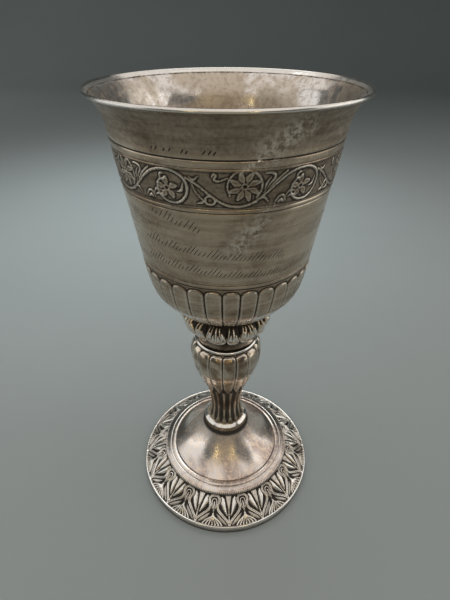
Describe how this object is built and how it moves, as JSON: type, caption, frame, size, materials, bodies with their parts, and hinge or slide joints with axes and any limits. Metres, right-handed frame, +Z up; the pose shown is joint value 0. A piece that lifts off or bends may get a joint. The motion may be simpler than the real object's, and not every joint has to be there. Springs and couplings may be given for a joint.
{
  "type": "silver goblet",
  "caption": "Footed drinking goblet: flared hollow bowl with a lobed underside, leaf collar, baluster stem and a round foot with a palmette border.",
  "frame": {"origin": "middle of the foot's resting ring, on the surface it stands on", "axes": "+Z up along the axis of the bowl and stem, the engraved front towards -Y"},
  "size_m": [0.0828, 0.0828, 0.175],
  "materials": {
    "bowl_silver": "old silver with a warm grey-brown tarnish, softly polished",
    "cast_silver": "bright cast silver with near-black recesses",
    "stem_silver": "polished silver, warm in the shade, dark in the grooves",
    "dome_silver": "spun silver with a pinkish beige bloom and fine scratches"
  },
  "bodies": {
    "root": {"bowl": "bowl_silver", "leaf_collar": "cast_silver", "stem": "stem_silver", "foot_dome": "dome_silver", "foot_border": "cast_silver"}
  },
  "joints": []
}
